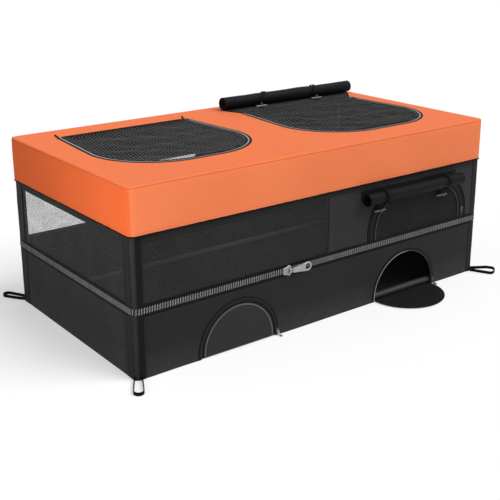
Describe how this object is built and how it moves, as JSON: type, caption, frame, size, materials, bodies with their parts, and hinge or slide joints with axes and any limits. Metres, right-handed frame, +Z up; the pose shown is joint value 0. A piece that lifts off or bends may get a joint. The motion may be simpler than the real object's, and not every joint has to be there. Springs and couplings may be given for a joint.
{
  "type": "chick brooder box",
  "caption": "Rectangular fabric pen on a tube frame, with an orange lid, mesh windows, zipped doors, rolled-up shades and stake loops, for keeping chicks warm and safe.",
  "frame": {"origin": "middle of the floor panel's underside, on the ground", "axes": "+X along the front to the right, +Y to the back, +Z up"},
  "size_m": [1.0574, 0.6761, 0.4306],
  "materials": {
    "frame_tube": "satin",
    "joint_plastic": "matte",
    "black_fabric": "woven",
    "webbing": "woven",
    "zip_tape": "woven",
    "zip_chain": "satin",
    "orange_fabric": "coated",
    "mesh": "woven",
    "pull_metal": "satin",
    "black_plastic": "satin"
  },
  "bodies": {
    "base": {"corner_posts": "frame_tube", "bottom_rails_long": "frame_tube", "bottom_rails_short": "frame_tube", "top_rails_long": "frame_tube", "top_rails_short": "frame_tube", "bottom_corner_joints": "joint_plastic", "top_corner_joints": "joint_plastic", "floor_panel": "black_fabric", "lower_wall_front": "black_fabric", "lower_wall_right": "black_fabric", "lower_wall_back": "black_fabric", "lower_wall_left": "black_fabric", "lower_corner_sleeves": "black_fabric", "lower_zip_tape": "zip_tape", "lower_zip_chain": "zip_chain", "stake_loops": "webbing", "pop_zip_left": "zip_tape", "pop_zip_right": "zip_tape"},
    "cover": {"roof_panel": "orange_fabric", "skirt_front": "orange_fabric", "skirt_right": "orange_fabric", "skirt_back": "orange_fabric", "skirt_left": "orange_fabric", "skirt_piping": "webbing", "upper_band": "black_fabric", "upper_corner_sleeves": "black_fabric", "mesh_left": "mesh", "mesh_front": "mesh", "mesh_back": "mesh", "upper_panel_right": "black_fabric", "upper_panel_front": "black_fabric", "upper_panel_back": "black_fabric", "seam_strips": "webbing", "upper_zip_tape": "zip_tape", "upper_zip_chain": "zip_chain", "window_mesh": "mesh", "window_zip": "zip_tape", "window_shade": "black_fabric", "roof_shade": "black_fabric", "window_ties": "webbing", "roof_ties": "webbing", "roof_zip_left": "zip_tape", "roof_zip_right": "zip_tape"},
    "roof_door_left": {"roof_rim_left": "webbing", "roof_mesh_left": "mesh"},
    "roof_door_right": {"roof_rim_right": "webbing", "roof_mesh_right": "mesh"},
    "pop_door_left": {"pop_flap_left": "black_fabric"},
    "pop_door_right": {"pop_flap_right": "black_fabric"},
    "pop_slider_left": {"pop_slider_left": "pull_metal"},
    "pop_slider_right": {"pop_slider_right": "black_plastic"},
    "zip_slider": {"zip_slider": "pull_metal"},
    "zip_pull": {"zip_pull": "pull_metal"},
    "window_slider": {"window_slider": "black_plastic"},
    "roof_slider_left": {"roof_slider_left": "black_plastic"},
    "roof_slider_right": {"roof_slider_right": "black_plastic"},
    "toggle_window_left": {"toggle_window_left": "black_plastic"},
    "toggle_window_right": {"toggle_window_right": "black_plastic"},
    "toggle_roof_left": {"toggle_roof_left": "black_plastic"},
    "toggle_roof_right": {"toggle_roof_right": "black_plastic"}
  },
  "joints": [
    {"name": "cover_lift", "type": "slide", "parent": "base", "child": "cover", "axis": [0, 0, 1], "range_m": [0, 0.3]},
    {"name": "roof_door_left_hinge", "type": "hinge", "parent": "cover", "child": "roof_door_left", "pos_m": [-0.248, 0.1843, 0.3956], "axis": [-1, 0, 0], "range_deg": [0, 160]},
    {"name": "roof_door_right_hinge", "type": "hinge", "parent": "cover", "child": "roof_door_right", "pos_m": [0.257, 0.1483, 0.3956], "axis": [-1, 0, 0], "range_deg": [0, 105]},
    {"name": "pop_door_left_hinge", "type": "hinge", "parent": "base", "child": "pop_door_left", "pos_m": [-0.246, -0.259, 0.0022], "axis": [1, 0, 0], "range_deg": [0, 90]},
    {"name": "pop_door_right_hinge", "type": "hinge", "parent": "base", "child": "pop_door_right", "pos_m": [0.246, -0.259, 0.0022], "axis": [-1, 0, 0], "range_deg": [0, 90]},
    {"name": "pop_slider_left_run", "type": "hinge", "parent": "base", "child": "pop_slider_left", "pos_m": [-0.246, -0.26, 0.008], "axis": [0, -1, 0], "range_deg": [0, 176]},
    {"name": "pop_slider_right_run", "type": "hinge", "parent": "base", "child": "pop_slider_right", "pos_m": [0.246, -0.26, 0.008], "axis": [0, -1, 0], "range_deg": [0, 176]},
    {"name": "zip_slider_run", "type": "slide", "parent": "base", "child": "zip_slider", "axis": [1, 0, 0], "range_m": [-0.329, 0.571]},
    {"name": "zip_pull_swing", "type": "hinge", "parent": "zip_slider", "child": "zip_pull", "pos_m": [-0.1147, -0.2688, 0.144], "axis": [0, 0, -1], "range_deg": [0, 180]},
    {"name": "window_slider_run", "type": "hinge", "parent": "cover", "child": "window_slider", "pos_m": [0.354, -0.26, 0.175], "axis": [0, -1, 0], "range_deg": [0, 40]},
    {"name": "roof_slider_left_run", "type": "slide", "parent": "cover", "child": "roof_slider_left", "axis": [0.0835, -0.9965, 0], "range_m": [-0.01, 0.16]},
    {"name": "roof_slider_right_run", "type": "slide", "parent": "cover", "child": "roof_slider_right", "axis": [0.0881, -0.9961, 0], "range_m": [-0.01, 0.15]},
    {"name": "toggle_window_left_turn", "type": "hinge", "parent": "cover", "child": "toggle_window_left", "pos_m": [0.15, -0.2674, 0.2285], "axis": [0, 1, 0], "range_deg": [-90, 90]},
    {"name": "toggle_window_right_turn", "type": "hinge", "parent": "cover", "child": "toggle_window_right", "pos_m": [0.357, -0.2674, 0.2285], "axis": [0, 1, 0], "range_deg": [-90, 90]},
    {"name": "toggle_roof_left_turn", "type": "hinge", "parent": "cover", "child": "toggle_roof_left", "pos_m": [0.152, 0.175, 0.4014], "axis": [0, 0, 1], "range_deg": [-90, 90]},
    {"name": "toggle_roof_right_turn", "type": "hinge", "parent": "cover", "child": "toggle_roof_right", "pos_m": [0.34, 0.175, 0.4014], "axis": [0, 0, 1], "range_deg": [-90, 90]}
  ]
}
